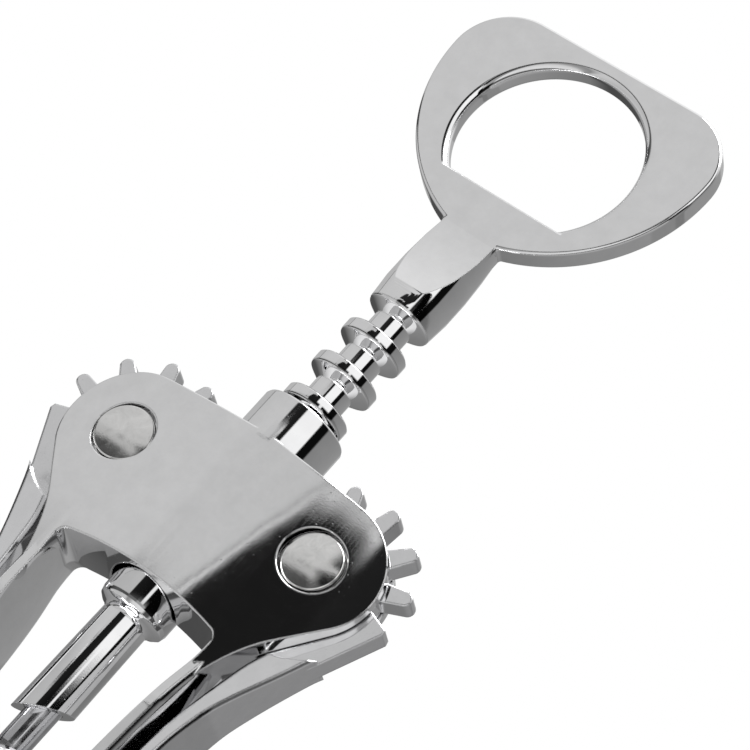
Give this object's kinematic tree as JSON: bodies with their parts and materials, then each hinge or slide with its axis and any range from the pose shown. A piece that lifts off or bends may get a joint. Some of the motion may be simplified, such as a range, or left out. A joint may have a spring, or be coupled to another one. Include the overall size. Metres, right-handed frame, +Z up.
{
  "type": "lever corkscrew",
  "caption": "Chrome lever corkscrew with geared side arms, a ringed rack spindle, a worm, a bell that sits on the bottle and a bottle-opener head.",
  "frame": {"origin": "centre of the bell's rim, on the surface that the corkscrew stands on", "axes": "+Z up along the worm's axis to the opener head, +X across the two levers, -Y out of the front plate"},
  "size_m": [0.0628, 0.0356, 0.1815],
  "materials": {
    "frame_chrome": "bright chrome plate on die-cast zinc",
    "handle_chrome": "bright chrome plate on die-cast zinc",
    "lever_chrome": "bright chrome plate on die-cast zinc",
    "worm_steel": "bright plated steel",
    "rivet_steel": "tumbled, slightly dull steel",
    "guide_nylon": "black nylon"
  },
  "bodies": {
    "frame_body": {"frame": "frame_chrome", "left_rivet": "rivet_steel", "right_rivet": "rivet_steel"},
    "guide_body": {"worm_guide": "guide_nylon"},
    "spindle_body": {"handle_spindle": "handle_chrome", "worm": "worm_steel"},
    "left_lever_body": {"left_lever": "lever_chrome"},
    "right_lever_body": {"right_lever": "lever_chrome"}
  },
  "joints": [
    {"name": "left_lever_swing", "type": "hinge", "parent": "frame_body", "child": "left_lever_body", "pos_m": [-0.0177, 0, 0.09], "axis": [0, 1, 0], "range_deg": [0, 156]},
    {"name": "right_lever_swing", "type": "hinge", "parent": "frame_body", "child": "right_lever_body", "pos_m": [0.0177, 0, 0.09], "axis": [0, -1, 0], "range_deg": [0, 156]},
    {"name": "handle_turn", "type": "hinge", "parent": "frame_body", "child": "guide_body", "pos_m": [0, 0, 0.0185], "axis": [0, 0, 1], "continuous": true},
    {"name": "rack_slide", "type": "slide", "parent": "guide_body", "child": "spindle_body", "axis": [0, 0, -1], "range_m": [0, 0.0355]}
  ],
  "couplings": [
    {"joint": "right_lever_swing", "follows": "left_lever_swing", "ratio": 1},
    {"joint": "rack_slide", "follows": "left_lever_swing", "m_per_rad": 0.013}
  ]
}
